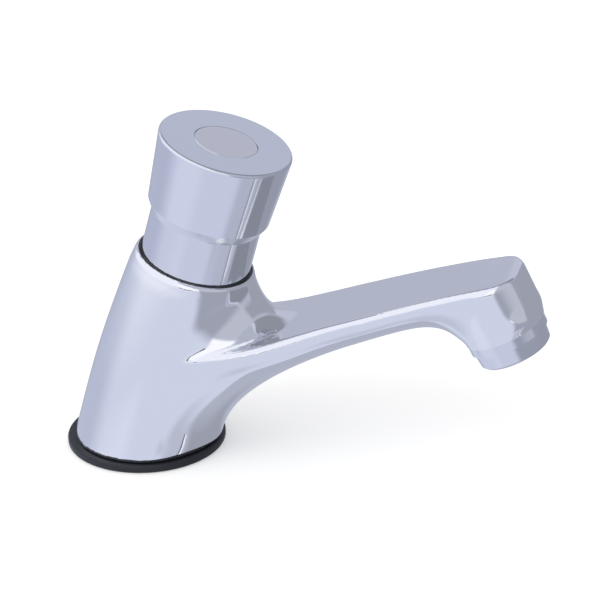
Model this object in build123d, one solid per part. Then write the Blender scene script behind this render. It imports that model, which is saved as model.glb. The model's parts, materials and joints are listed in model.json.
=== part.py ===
"""Self-closing pillar tap with a tilted barrel, a long push button and a tapering spout.

Millimetres. The origin is the centre of the base gasket's underside, on the deck.
+Z is up and +X points to the spout. The tap is symmetric about the XZ plane.
"""
from build123d import *
import os
from math import ceil, cos, hypot, pi, radians, sin, sqrt, tan

# Barrel: a turned form about an axis that leans towards the spout
BARREL_TILT = 16.1
BARREL_OFFSET = 0.6
BARREL_LENGTH = 69.3
BARREL_RADIUS = 24.0
RIM_RADIUS = 19.1
RIM_ROUND = 2.3
BARREL_TAPER_SHARES = [(0.0, 0.17), (0.092, 0.433), (0.347, 0.678), (0.63, 0.88), (0.84, 0.967)]
RIM_SHOULDER_SLOPE = -0.32
RIM_SHOULDER_SHARE = 0.3
FLANK_OVERLAP = 1.4

# Spout: D sections hung between a ridge line and a keel line
SPOUT_REACH = 124.6
SPOUT_RISE_SHARE = 1.0332
SPOUT_END_SAG = 0.5
SPOUT_END_SLOPE = 15.4
FOOT_OVERHANG = 1.2
NOSE_HALF_WIDTH = 14.0
ROOT_EDGE_ROUND = 0.08
SPOUT_EDGE_ROUND = 1.7
SPOUT_END_SETBACK = 8.0
RIDGE_ON_BARREL_SHARES = [(0.043, 0.0, 0.997), (0.228, 0.0, 0.995), (0.428, 0.012, 0.976), (0.562, 0.121, 0.947)]
RIDGE_ON_SPOUT_SHARES = [
    (0.177, 0.78, 0.567),
    (0.265, 0.66, 0.595),
    (0.353, 0.49, 0.631),
    (0.4575, 0.30, 0.695),
    (0.642, 0.19, 0.807),
    (0.8347, 0.06, 0.914),
]
KEEL_SHARES = [
    (0.224, 0.140),
    (0.267, 0.246),
    (0.333, 0.349),
    (0.406, 0.436),
    (0.498, 0.525),
    (0.602, 0.603),
    (0.706, 0.673),
    (0.7665, 0.698),
    (0.807, 0.693),
    (0.836, 0.663),
    (0.866, 0.624),
]
SPOUT_STATIONS = 16
KEEL_HANDLE_SHARE = 0.38
KEEL_HANDLE_GAIN_SHARE = 0.18
EDGE_START_SHARE = 0.12
EDGE_SPAN_SHARE = 0.3
CORNER_HANDLE_SHARE = 0.45
ROUND_HANDLE_SHARE = 0.5523

# Nose: the spout turns down to a round seam that carries the aerator
OUTLET_TILT = 25.1
NOSE_DROP = 17.65
SEAM_RADIUS = 13.35
NOSE_SLICE_SHARES = [
    (0.0, 1.0, 0.966, 0.56),
    (0.13, 0.85, 0.83, 0.69),
    (0.4, 0.45, 0.72, 0.785),
    (0.75, 0.06, 0.66, 0.86),
    (1.3, 0.0, 0.65, 0.885),
]

# Neck: the hollow sweep from the top of the spout up to the rim
NECK_TUCK = 0.12
NECK_BACK_SHARE = 0.5
NECK_SIDE_HANDLE_SHARE = 0.36
NECK_FRONT_HANDLE_SHARE = 0.5
NECK_SHARES = [
    (0.551, 0.4334, 0.676),
    (0.671, 0.3772, 0.676),
    (0.765, 0.3451, 0.712),
    (0.844, 0.3266, 0.7625),
    (0.916, 0.3146, 0.813),
    (0.974, 0.3066, 0.855),
]

# Base gasket and deck fixing
GASKET_RADIUS = 26.0
GASKET_THICKNESS = 2.5
GASKET_EDGE = 0.7
DECK_ROOM = 20.0
SHANK_RADIUS = 10.48
SHANK_BORE_RADIUS = 6.5
SHANK_LENGTH = 46.0
SHANK_ENGAGEMENT = 7.0
SHANK_CHAMFER = 1.0
SHANK_RELIEF_DEPTH = 0.6
SHANK_RELIEF_WIDTH = 0.8
SHANK_COLLAR_RADIUS = 12.0
SHANK_COLLAR_DEPTH = 1.6
THREAD_CLEARANCE = 0.05
WASHER_RADIUS = 17.0
WASHER_THICKNESS = 1.5
WASHER_CLEARANCE = 0.3
NUT_ACROSS_FLATS = 30.0
NUT_FLANGE_RADIUS = 16.5
NUT_FLANGE_THICKNESS = 2.0
NUT_THICKNESS = 9.0
FILTER_WALL = 0.7
FILTER_DEPTH = 11.0
FILTER_CLEARANCE = 0.15

# Bores on the barrel's axis, with their levels as shares of its length
WELL_FLOOR_SHARE = 0.6926
GUIDE_SEAT_SHARE = 0.8947
GUIDE_BORE_RADIUS = 18.75
WELL_RADIUS = 18.3
THREAD_FLOOR_SHARE = 0.5772
CARTRIDGE_THREAD_RADIUS = 14.0
SEAT_LEVEL_SHARE = 0.3896
CHAMBER_RADIUS = 11.7
INLET_CHAMBER_FLOOR = 12.5
INLET_CHAMBER_RADIUS = 8.6
INLET_BORE_TOP = 17.0
WATERWAY_RADIUS = 3.8
WATERWAY_START_SHARES = (0.145, 0.432)
WATERWAY_END_SHARES = (0.885, 0.87)
OVERRUN = 1.0

# Push button
BUTTON_RISE = 42.1
BUTTON_RADIUS = 21.72
BUTTON_LOWER_RADIUS = 19.8
BUTTON_STEP_RISE = 18.5
BUTTON_STEP_DROP = 3.5
SKIRT_RADIUS = 17.85
SKIRT_WALL = 1.85
SKIRT_END_SHARE = 0.8297
BUTTON_CROWN = 8.0
BUTTON_EDGE = 0.9
BUTTON_INNER_RADIUS = 15.6
BUTTON_BOSS_RADIUS = 6.2
BUTTON_BOSS_DEPTH = 6.6
PUSH_TRAVEL = 6.0
GUIDE_RUNNING_GAP = 0.07
GUIDE_RECESS = 0.7
DISC_RADIUS = 10.3
DISC_THICKNESS = 1.3
DISC_CLEARANCE = 0.08
DISC_EDGE = 0.25
SCREW_HEAD_RADIUS = 3.6
SCREW_HEAD_HEIGHT = 2.4
SCREW_RADIUS = 1.45
SCREW_LENGTH = 9.0
SCREW_SOCKET_RADIUS = 1.25
SCREW_SOCKET_DEPTH = 1.4
SCREW_CLEARANCE = 0.05

# Rod, piston and valve, which move with the button
ROD_RADIUS = 3.0
ROD_HEAD_DEPTH = 4.6
ROD_COLLAR_RADIUS = 5.6
ROD_COLLAR_THICKNESS = 1.2
ROD_STEM_RADIUS = 1.9
ROD_CLEARANCE = 0.07
PISTON_RADIUS = 8.0
PISTON_TOP_GAP = 0.1
PISTON_THICKNESS = 5.0
PISTON_GROOVE_DEPTH = 1.9
PISTON_GROOVE_HEIGHT = 2.4
SEAL_RUNNING_GAP = 0.06
SEAL_LIP = 0.7
CIRCLIP_RADIUS = 4.4
CIRCLIP_THICKNESS = 0.8
CIRCLIP_GROOVE_DEPTH = 0.5
CIRCLIP_OPENING = 56.0
VALVE_WASHER_RADIUS = 7.0
VALVE_WASHER_THICKNESS = 2.6
VALVE_LIFT_GAP = 0.05
HOLDER_RADIUS = 7.4
HOLDER_THICKNESS = 1.4
HOLDER_RIM = 0.9
HOLDER_CLEARANCE = 0.15
STEM_NUT_ACROSS_FLATS = 6.0
STEM_NUT_THICKNESS = 2.4

# Cartridge, fixed in the barrel
CARTRIDGE_FLANGE_RADIUS = 15.5
CARTRIDGE_FLANGE_THICKNESS = 3.0
CARTRIDGE_RADIUS = 11.3
CARTRIDGE_TOP_SHARE = 0.79365
CARTRIDGE_NECK_RADIUS = 12.4
CYLINDER_RADIUS = 8.6
DIVIDER_TOP_SHARE = 0.5512
DIVIDER_THICKNESS = 2.2
CAGE_RADIUS = 8.4
PORT_WIDTH = 7.0
PORT_LOW_SHARE = 0.4271
PORT_HIGH_SHARE = 0.5051
PORT_COUNT = 4
SEAT_HOLE_RADIUS = 5.0
SEAT_RIM_RADIUS = 6.1
SEAT_RIM_HEIGHT = 0.6
SEAT_THICKNESS = 2.0
RING_WIRE_RADIUS = 0.85
RING_SQUEEZE = 0.05
RING_DROP = 0.8
CAP_THREAD_RADIUS = 10.0
CAP_SPIGOT_LENGTH = 4.5
CAP_HEAD_THICKNESS = 3.0
CAP_ACROSS_FLATS = 22.0
ROD_RING_WIRE_RADIUS = 1.0
ROD_RING_DROP = 1.8
TIMING_SCREW_RADIUS = 1.1
TIMING_SCREW_PLACE = 6.0
TIMING_HEAD_RADIUS = 1.7
TIMING_HEAD_HEIGHT = 1.0
TIMING_NEEDLE_RADIUS = 0.5
TIMING_NEEDLE_LENGTH = 2.4

# Return spring, between the cap and a thrust washer under the button
SPRING_RADIUS = 9.4
SPRING_WIRE_RADIUS = 0.8
SPRING_SEAT_GAP = 0.05
SPRING_DEAD_TURNS = 1.0
SPRING_LIVE_TURNS = 5.5
SPRING_DEAD_GAP = 0.55
SPRING_ARCS_PER_TURN = 4
SPRING_PROBES_PER_TURN = 72
THRUST_WASHER_RADIUS = 11.6
THRUST_WASHER_THICKNESS = 1.0

# Aerator, below and inside the nose's seam
AERATOR_COLLAR_RADIUS = 13.1
AERATOR_COLLAR_HEIGHT = 3.1
AERATOR_SEAM_GAP = 0.2
AERATOR_RADIUS = 12.35
AERATOR_MOUTH_RADIUS = 11.9
AERATOR_DROP = 8.7
AERATOR_LIP_ROUND = 0.7
AERATOR_NOTCH = 0.35
AERATOR_THREAD_RADIUS = 11.5
AERATOR_THREAD_LENGTH = 7.0
AERATOR_BORE_RADIUS = 10.2
AERATOR_SHELF_RADIUS = 9.4
AERATOR_SHELF_HEIGHT = 1.0
INSERT_CLEARANCE = 0.1
INSERT_RECESS = 1.6
INSERT_HEIGHT = 9.0
INSERT_FACE = 1.4
INSERT_WALL = 1.2
INSERT_HOLE_RADIUS = 0.8
INSERT_RINGS = ((3.0, 6), (6.2, 12))
NOSE_SOCKET_CLEARANCE = 0.05
AERATOR_WASHER_THICKNESS = 1.6
AERATOR_WASHER_BORE_RADIUS = 7.6
NOSE_CHAMBER_RADIUS = 7.2
NOSE_CHAMBER_HEIGHT = 15.0

SPOUT_RISE = SPOUT_RISE_SHARE * BARREL_LENGTH
WELL_FLOOR = WELL_FLOOR_SHARE * BARREL_LENGTH
GUIDE_SEAT = GUIDE_SEAT_SHARE * BARREL_LENGTH
THREAD_FLOOR = THREAD_FLOOR_SHARE * BARREL_LENGTH
SEAT_LEVEL = SEAT_LEVEL_SHARE * BARREL_LENGTH
PORT_LOW = PORT_LOW_SHARE * BARREL_LENGTH
PORT_HIGH = PORT_HIGH_SHARE * BARREL_LENGTH
DIVIDER_TOP = DIVIDER_TOP_SHARE * BARREL_LENGTH
RING_LEVELS = (SEAT_LEVEL + SEAT_THICKNESS / 2, DIVIDER_TOP - RING_DROP)
CARTRIDGE_TOP = CARTRIDGE_TOP_SHARE * BARREL_LENGTH
CAP_SPIGOT_LOW = CARTRIDGE_TOP - CAP_SPIGOT_LENGTH
ROD_RING_LEVEL = CARTRIDGE_TOP - ROD_RING_DROP
PISTON_TOP = CAP_SPIGOT_LOW - PISTON_TOP_GAP
SKIRT_END = SKIRT_END_SHARE * BARREL_LENGTH
BUTTON_STEP = BARREL_LENGTH + BUTTON_STEP_RISE
BUTTON_TOP = BARREL_LENGTH + BUTTON_RISE

BOTTOM = (Align.CENTER, Align.CENTER, Align.MIN)
TOP = (Align.CENTER, Align.CENTER, Align.MAX)
TILT = radians(BARREL_TILT)
LEAN = radians(OUTLET_TILT)
WIDE = 4 * BARREL_RADIUS

barrel_plane = Plane(origin=(BARREL_OFFSET, 0, 0), x_dir=(cos(TILT), 0, -sin(TILT)), z_dir=(sin(TILT), 0, cos(TILT)))
top_front = Vector(SPOUT_REACH, 0, SPOUT_RISE)
top_end = Vector(SPOUT_REACH, 0, SPOUT_RISE - SPOUT_END_SAG)
top_way = Vector(cos(radians(SPOUT_END_SLOPE)), 0, sin(radians(SPOUT_END_SLOPE)))
front_way = Vector(sin(LEAN), 0, -cos(LEAN))
seam_front = top_front + front_way * NOSE_DROP
seam_centre = seam_front - Vector(cos(LEAN), 0, sin(LEAN)) * SEAM_RADIUS
outlet_plane = Plane(origin=seam_centre, x_dir=(cos(LEAN), 0, sin(LEAN)), z_dir=(-sin(LEAN), 0, cos(LEAN)))


def on_barrel(height, forward=0.0, side=0.0):
    """A point given along the barrel's axis, across it towards the spout, and to one side."""
    return barrel_plane.from_local_coords(Vector(forward, side, height))


def turned(plane, outline):
    """A solid turned about the plane's Z axis from (radius, height) points."""
    profile = Plane(origin=plane.origin, x_dir=plane.x_dir, z_dir=-plane.y_dir)
    with BuildPart() as piece:
        with BuildSketch(profile):
            with BuildLine():
                Polyline(*outline, close=True)
            make_face()
        revolve(axis=Axis(plane.origin, plane.z_dir))
    return piece.part


def ring(plane, inner, outer, low, high):
    """A plain ring or washer between two heights."""
    return turned(plane, [(inner, low), (outer, low), (outer, high), (inner, high)])


def rod(plane, radius, low, high):
    """A plain cylinder between two heights on the plane's Z axis."""
    return plane * Pos(0, 0, low) * Cylinder(radius, high - low, align=BOTTOM)


def hexagon(plane, across_flats, low, high):
    """A hexagonal prism between two heights."""
    sketch = plane * Pos(0, 0, low) * RegularPolygon(across_flats / 2, 6, major_radius=False)
    return extrude(sketch, amount=high - low, dir=plane.z_dir)


def o_ring(plane, centre_radius, wire_radius, level):
    """A round-section ring about the plane's Z axis."""
    return plane * Pos(0, 0, level) * Torus(centre_radius, wire_radius)


def barrel_radius(height):
    """The barrel's outer radius at a height, between the points of its taper."""
    knots = taper_points()
    for (near_radius, near), (far_radius, far) in zip(knots, knots[1:]):
        if near <= height <= far:
            return near_radius + (far_radius - near_radius) * (height - near) / (far - near)
    return knots[-1][0] if height > knots[-1][1] else knots[0][0]


def taper_points():
    """(radius, height) points down the barrel's side, from the base to the rim's shoulder."""
    slack = BARREL_RADIUS - RIM_RADIUS
    return [(BARREL_RADIUS - slack * inset, BARREL_LENGTH * level) for inset, level in BARREL_TAPER_SHARES]


def make_barrel():
    """The back and the upper part of the casting, without its lower front, which the spout's root forms."""
    below = 2 * BARREL_RADIUS * tan(TILT)
    side = [(BARREL_RADIUS, -below)] + taper_points()
    shoulder = side[-1]
    rim_bulge = (shoulder[0] - RIM_RADIUS) * (1 - RIM_SHOULDER_SHARE)
    rim_middle = (RIM_RADIUS + rim_bulge, BARREL_LENGTH - RIM_ROUND * RIM_SHOULDER_SHARE)
    profile = Plane(origin=barrel_plane.origin, x_dir=barrel_plane.x_dir, z_dir=-barrel_plane.y_dir)
    with BuildPart() as piece:
        with BuildSketch(profile):
            with BuildLine():
                Spline(*side, tangents=[(0, 1), (RIM_SHOULDER_SLOPE, 1)])
                ThreePointArc(shoulder, rim_middle, (RIM_RADIUS, BARREL_LENGTH))
                Polyline((RIM_RADIUS, BARREL_LENGTH), (0, BARREL_LENGTH), (0, -below), side[0])
            make_face()
        revolve(axis=Axis(barrel_plane.origin, barrel_plane.z_dir))
    front_height = 2 * BARREL_LENGTH * RIDGE_ON_BARREL_SHARES[2][0]
    front = Box(WIDE, WIDE, front_height, align=(Align.MIN, Align.CENTER, Align.CENTER))
    return piece.part - barrel_plane * Pos(FLANK_OVERLAP, 0, 0) * front


def ridge_line():
    """The upper edge of the D sections: from under the base up the barrel's side, then out along the spout."""
    points = []
    foot = GASKET_THICKNESS - OVERRUN
    for level, forward, width in RIDGE_ON_BARREL_SHARES:
        points.append(on_barrel(BARREL_LENGTH * level, BARREL_RADIUS * forward, BARREL_RADIUS * width))
    points[0] = points[0] - barrel_plane.z_dir * ((points[0].Z - foot) / barrel_plane.z_dir.Z)
    flare = BARREL_RADIUS - NOSE_HALF_WIDTH
    for reach, width, rise in RIDGE_ON_SPOUT_SHARES:
        points.append(Vector(SPOUT_REACH * reach, NOSE_HALF_WIDTH + flare * width, SPOUT_RISE * rise))
    points.append(top_end - top_way * SPOUT_END_SETBACK + Vector(0, NOSE_HALF_WIDTH, 0))
    return Spline(*points)


def keel_line():
    """The lowest line of the D sections, from the front of the base to the back of the nose."""
    points = [Vector(BARREL_RADIUS + FOOT_OVERHANG, 0, GASKET_THICKNESS - OVERRUN)]
    points += [Vector(SPOUT_REACH * reach, 0, SPOUT_RISE * rise) for reach, rise in KEEL_SHARES]
    return Spline(*points)


def section_plane(top, bottom):
    """The plane of a D section: its Y axis points down to the keel and its Z axis back to the barrel."""
    down = Vector(bottom.X - top.X, 0, bottom.Z - top.Z).normalized()
    return Plane(origin=(top.X, 0, top.Z), x_dir=(0, 1, 0), z_dir=Vector(0, 1, 0).cross(down))


def d_section(top, half_width, bottom, edge, keel_handle):
    """A D-shaped face: flat above with rounded edges, and a belly as round as its width allows."""
    depth = hypot(bottom.X - top.X, bottom.Z - top.Z)
    plane = section_plane(top, bottom)
    belly = depth - edge
    flank_handle = 1 - (1 - ROUND_HANDLE_SHARE) * min(1, half_width / belly)
    flat = half_width - edge
    near = half_width - edge * CORNER_HANDLE_SHARE
    low = edge + flank_handle * belly
    with BuildSketch(plane) as section:
        with BuildLine():
            Line((-flat, 0), (flat, 0))
            Bezier((flat, 0), (near, 0), (half_width, edge * CORNER_HANDLE_SHARE), (half_width, edge))
            Bezier((half_width, edge), (half_width, low), (keel_handle * half_width, depth), (0, depth))
            Bezier((0, depth), (-keel_handle * half_width, depth), (-half_width, low), (-half_width, edge))
            Bezier((-half_width, edge), (-half_width, edge * CORNER_HANDLE_SHARE), (-near, 0), (-flat, 0))
        make_face()
    return section.sketch.face()


def edge_at(share):
    """The rounding of the D sections' upper edges, which fades out down the barrel's side."""
    grown = min(1, max(0, (share - EDGE_START_SHARE) / EDGE_SPAN_SHARE))
    return ROOT_EDGE_ROUND + (SPOUT_EDGE_ROUND - ROOT_EDGE_ROUND) * grown


def make_spout(ridge, keel):
    """The spout and its root, lofted through D sections between the ridge and the keel."""
    wires = []
    for station in range(SPOUT_STATIONS):
        share = station / (SPOUT_STATIONS - 1)
        top = ridge.position_at(share)
        handle = KEEL_HANDLE_SHARE + KEEL_HANDLE_GAIN_SHARE * min(1, 2 * share)
        wires.append(d_section(top, top.Y, keel.position_at(share), edge_at(share), handle).outer_wire())
    return Solid.make_loft(wires)


def nose_slice(height, half_width, corner, handle):
    """A slice across the outlet's axis: a rounded square in front, a half round behind."""
    front, back = SEAM_RADIUS, -SEAM_RADIUS
    flat, start = half_width - corner, front - corner
    tuck = corner * (1 - handle)
    far = half_width * ROUND_HANDLE_SHARE
    with BuildSketch(outlet_plane.offset(height)) as section:
        with BuildLine():
            Line((front, -flat), (front, flat))
            Bezier((front, flat), (front, half_width - tuck), (front - tuck, half_width), (start, half_width))
            Line((start, half_width), (0, half_width))
            Bezier((0, half_width), (back * ROUND_HANDLE_SHARE, half_width), (back, far), (back, 0))
            Bezier((back, 0), (back, -far), (back * ROUND_HANDLE_SHARE, -half_width), (0, -half_width))
            Line((0, -half_width), (start, -half_width))
            Bezier((start, -half_width), (front - tuck, -half_width), (front, tuck - half_width), (front, -flat))
        make_face()
    return section.sketch.face().outer_wire()


def make_nose(ridge, keel):
    """The nose: lofted up from the round seam to a rounded block, cut off along the spout's top and end."""
    wires = []
    for rise, narrowing, corner, handle in NOSE_SLICE_SHARES:
        width = NOSE_HALF_WIDTH + (SEAM_RADIUS - NOSE_HALF_WIDTH) * narrowing
        wires.append(nose_slice(NOSE_DROP * rise, width, SEAM_RADIUS * corner, handle))
    block = Solid.make_loft(wires)
    above = Plane(origin=top_end, x_dir=top_way, z_dir=top_way.cross(Vector(0, 1, 0)))
    block = block - above * Box(WIDE, WIDE, WIDE, align=BOTTOM)
    top = block.faces().sort_by(Axis(top_end, above.z_dir))[-1]
    block = fillet(top.edges(), SPOUT_EDGE_ROUND)
    joint = section_plane(ridge.position_at(1), keel.position_at(1))
    return block - joint * Box(WIDE, WIDE, WIDE, align=BOTTOM)


def neck_section(level, front):
    """An oval across the barrel that reaches forward to the neck's hollow line."""
    centre = on_barrel(level)
    reach = hypot(front.X - centre.X, front.Z - centre.Z)
    ahead = (front - centre).normalized()
    side = barrel_radius(level) - NECK_TUCK
    back = side * NECK_BACK_SHARE
    plane = Plane(origin=centre, x_dir=ahead, z_dir=ahead.cross(Vector(0, 1, 0)))
    handle = ROUND_HANDLE_SHARE
    shoulder, brow = reach * NECK_SIDE_HANDLE_SHARE, side * NECK_FRONT_HANDLE_SHARE
    with BuildSketch(plane) as section:
        with BuildLine():
            Bezier((0, -side), (shoulder, -side), (reach, -brow), (reach, 0))
            Bezier((reach, 0), (reach, brow), (shoulder, side), (0, side))
            Bezier((0, side), (-back * handle, side), (-back, side * handle), (-back, 0))
            Bezier((-back, 0), (-back, -side * handle), (-back * handle, -side), (0, -side))
        make_face()
    return section.sketch.face()


def make_neck():
    """The hollow sweep between the top of the spout and the rim."""
    wires = []
    for level, reach, rise in NECK_SHARES:
        front = Vector(SPOUT_REACH * reach, 0, SPOUT_RISE * rise)
        wires.append(neck_section(BARREL_LENGTH * level, front).outer_wire())
    return Solid.make_loft(wires)


def spout_waterway():
    """The straight bore from the cartridge's chamber to the nose."""
    start = Vector(SPOUT_REACH * WATERWAY_START_SHARES[0], 0, SPOUT_RISE * WATERWAY_START_SHARES[1])
    end = Vector(SPOUT_REACH * WATERWAY_END_SHARES[0], 0, SPOUT_RISE * WATERWAY_END_SHARES[1])
    bore = Plane(origin=start, x_dir=(0, 1, 0), z_dir=end - start)
    return rod(bore, WATERWAY_RADIUS, 0, (end - start).length)


def make_tap_body():
    """The casting: barrel, spout, neck and nose in one, with its bores."""
    ridge, keel = ridge_line(), keel_line()
    body = make_barrel() + make_spout(ridge, keel)
    body = body + make_neck()
    body = body + make_nose(ridge, keel)
    body = body - Pos(0, 0, GASKET_THICKNESS) * Box(WIDE, WIDE, WIDE, align=TOP)
    rim_low = BARREL_LENGTH + OVERRUN
    body = body - rod(barrel_plane, GUIDE_BORE_RADIUS, GUIDE_SEAT, rim_low)
    body = body - rod(barrel_plane, WELL_RADIUS, WELL_FLOOR, GUIDE_SEAT + OVERRUN)
    body = body - rod(barrel_plane, CARTRIDGE_THREAD_RADIUS, THREAD_FLOOR, WELL_FLOOR + OVERRUN)
    body = body - rod(barrel_plane, CHAMBER_RADIUS, SEAT_LEVEL, THREAD_FLOOR + OVERRUN)
    body = body - rod(barrel_plane, INLET_CHAMBER_RADIUS, INLET_CHAMBER_FLOOR, SEAT_LEVEL + OVERRUN)
    socket_top = GASKET_THICKNESS + SHANK_ENGAGEMENT
    body = body - rod(Plane.XY, SHANK_RADIUS + THREAD_CLEARANCE, 0, socket_top)
    body = body - rod(Plane.XY, SHANK_BORE_RADIUS, 0, INLET_BORE_TOP)
    body = body - spout_waterway()
    socket_depth = AERATOR_THREAD_LENGTH + AERATOR_WASHER_THICKNESS
    body = body - rod(outlet_plane, AERATOR_THREAD_RADIUS + NOSE_SOCKET_CLEARANCE, -OVERRUN, socket_depth)
    return body - rod(outlet_plane, NOSE_CHAMBER_RADIUS, 0, NOSE_CHAMBER_HEIGHT)


def make_base_gasket():
    """The black gasket under the foot, with a rounded outer edge."""
    gasket = ring(Plane.XY, SHANK_COLLAR_RADIUS + WASHER_CLEARANCE, GASKET_RADIUS, 0, GASKET_THICKNESS)
    rims = gasket.edges().filter_by(GeomType.CIRCLE).sort_by(SortBy.RADIUS)[-2:]
    return fillet(rims, GASKET_EDGE)


def make_inlet_shank():
    """The threaded tail: screwed into the foot up to its collar, with a relief under the backnut's place."""
    top = GASKET_THICKNESS + SHANK_ENGAGEMENT - THREAD_CLEARANCE
    relief_top = -DECK_ROOM - WASHER_THICKNESS - NUT_THICKNESS - THREAD_CLEARANCE
    relief_low = relief_top - SHANK_RELIEF_WIDTH
    outline = [
        (SHANK_BORE_RADIUS, -SHANK_LENGTH),
        (SHANK_RADIUS - SHANK_CHAMFER, -SHANK_LENGTH),
        (SHANK_RADIUS, -SHANK_LENGTH + SHANK_CHAMFER),
        (SHANK_RADIUS, relief_low),
        (SHANK_RADIUS - SHANK_RELIEF_DEPTH, relief_low),
        (SHANK_RADIUS - SHANK_RELIEF_DEPTH, relief_top),
        (SHANK_RADIUS, relief_top),
        (SHANK_RADIUS, GASKET_THICKNESS - SHANK_COLLAR_DEPTH),
        (SHANK_COLLAR_RADIUS, GASKET_THICKNESS - SHANK_COLLAR_DEPTH),
        (SHANK_COLLAR_RADIUS, GASKET_THICKNESS),
        (SHANK_RADIUS, GASKET_THICKNESS),
        (SHANK_RADIUS, top),
        (SHANK_BORE_RADIUS, top),
    ]
    return turned(Plane.XY, outline)


def make_backnut_washer():
    """The plain washer that bears on the underside of the deck."""
    return ring(Plane.XY, SHANK_RADIUS + WASHER_CLEARANCE, WASHER_RADIUS, -DECK_ROOM - WASHER_THICKNESS, -DECK_ROOM)


def make_backnut():
    """The flanged nut that clamps the tap to the deck."""
    top = -DECK_ROOM - WASHER_THICKNESS
    nut = hexagon(Plane.XY, NUT_ACROSS_FLATS, top - NUT_THICKNESS, top - NUT_FLANGE_THICKNESS)
    corner = NUT_ACROSS_FLATS / 2 / cos(pi / 6)
    dome = [(0, top), (NUT_FLANGE_RADIUS, top), (corner, top - NUT_THICKNESS / 2)]
    dome += [(NUT_ACROSS_FLATS / 2, top - NUT_THICKNESS), (0, top - NUT_THICKNESS)]
    nut = nut & turned(Plane.XY, dome)
    nut = nut + rod(Plane.XY, NUT_FLANGE_RADIUS, top - NUT_FLANGE_THICKNESS, top)
    return nut - rod(Plane.XY, SHANK_RADIUS + THREAD_CLEARANCE, top - NUT_THICKNESS - OVERRUN, top + OVERRUN)


def make_inlet_filter():
    """The strainer cup pushed up into the end of the shank."""
    outer = SHANK_BORE_RADIUS - FILTER_CLEARANCE
    foot = -SHANK_LENGTH
    shoulder = foot + FILTER_DEPTH / 2
    crown = foot + FILTER_DEPTH
    tip = outer / 2
    outline = [
        (outer - 2 * FILTER_WALL, foot),
        (outer, foot),
        (outer, foot + 2 * FILTER_WALL),
        (outer - FILTER_WALL, shoulder),
        (tip, crown),
        (0, crown),
        (0, crown - FILTER_WALL),
        (tip - FILTER_WALL, crown - FILTER_WALL),
        (outer - 2 * FILTER_WALL, shoulder - FILTER_WALL),
    ]
    return turned(Plane.XY, outline)


def make_guide_ring():
    """The black bush in the rim that guides the button's skirt."""
    inner = SKIRT_RADIUS + GUIDE_RUNNING_GAP
    return ring(barrel_plane, inner, GUIDE_BORE_RADIUS, GUIDE_SEAT, BARREL_LENGTH - GUIDE_RECESS)


def cartridge_ports():
    """The side windows through which the water leaves the cage."""
    height = PORT_HIGH - PORT_LOW
    port = Pos(0, 0, PORT_LOW) * Box(2 * CARTRIDGE_FLANGE_RADIUS, PORT_WIDTH, height, align=BOTTOM)
    turns = [Rot(0, 0, 360 * index / PORT_COUNT) * port for index in range(PORT_COUNT // 2)]
    return [barrel_plane * turn for turn in turns]


def make_cartridge_body():
    """The cartridge's shell: valve cage below, timing cylinder above, and its mounting thread."""
    low = SEAT_LEVEL + SEAT_THICKNESS
    thread = CARTRIDGE_THREAD_RADIUS - THREAD_CLEARANCE
    flange_top = WELL_FLOOR + CARTRIDGE_FLANGE_THICKNESS
    outline = [
        (0, low),
        (CARTRIDGE_RADIUS, low),
        (CARTRIDGE_RADIUS, THREAD_FLOOR),
        (thread, THREAD_FLOOR),
        (thread, WELL_FLOOR),
        (CARTRIDGE_FLANGE_RADIUS, WELL_FLOOR),
        (CARTRIDGE_FLANGE_RADIUS, flange_top),
        (CARTRIDGE_NECK_RADIUS, flange_top),
        (CARTRIDGE_NECK_RADIUS, CARTRIDGE_TOP),
        (0, CARTRIDGE_TOP),
    ]
    shell = turned(barrel_plane, outline)
    shell = shell - rod(barrel_plane, CAGE_RADIUS, low - OVERRUN, DIVIDER_TOP - DIVIDER_THICKNESS)
    shell = shell - rod(barrel_plane, CYLINDER_RADIUS, DIVIDER_TOP, CARTRIDGE_TOP)
    shell = shell - rod(barrel_plane, CAP_THREAD_RADIUS, CAP_SPIGOT_LOW, CARTRIDGE_TOP + OVERRUN)
    shell = shell - rod(barrel_plane, ROD_RADIUS + ROD_CLEARANCE, low, CARTRIDGE_TOP)
    for port in cartridge_ports():
        shell = shell - port
    place = barrel_plane * Pos(TIMING_SCREW_PLACE, 0, 0)
    hole = TIMING_SCREW_RADIUS + THREAD_CLEARANCE
    shell = shell - place * Pos(0, 0, low) * Cylinder(hole, DIVIDER_TOP - low + OVERRUN, align=BOTTOM)
    return shell - ring(barrel_plane, ring_seat_radius(), CHAMBER_RADIUS, *groove_span(RING_LEVELS[1]))


def ring_seat_radius():
    """The floor radius of the grooves for the cartridge's outer sealing rings."""
    return CHAMBER_RADIUS - RING_SQUEEZE - 2 * RING_WIRE_RADIUS - RING_SQUEEZE


def groove_span(level):
    """The lower and upper edge of a sealing ring's groove."""
    half = RING_WIRE_RADIUS + RING_SQUEEZE
    return level - half, level + half


def make_valve_seat():
    """The seat disc at the cartridge's lower end, with a raised sealing rim underneath."""
    low = SEAT_LEVEL
    rim_low = low - SEAT_RIM_HEIGHT
    rim_outer = SEAT_RIM_RADIUS + SEAT_RIM_HEIGHT
    outline = [
        (SEAT_HOLE_RADIUS, rim_low),
        (SEAT_RIM_RADIUS, rim_low),
        (rim_outer, low),
        (CARTRIDGE_RADIUS, low),
        (CARTRIDGE_RADIUS, low + SEAT_THICKNESS),
        (SEAT_HOLE_RADIUS, low + SEAT_THICKNESS),
    ]
    seat = turned(barrel_plane, outline)
    return seat - ring(barrel_plane, ring_seat_radius(), CHAMBER_RADIUS, *groove_span(RING_LEVELS[0]))


def make_cartridge_o_rings():
    """The two rings that seal the cartridge in the casting, above and below its ports."""
    centre = CHAMBER_RADIUS - RING_SQUEEZE - RING_WIRE_RADIUS
    return Compound([o_ring(barrel_plane, centre, RING_WIRE_RADIUS, level) for level in RING_LEVELS])


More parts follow.
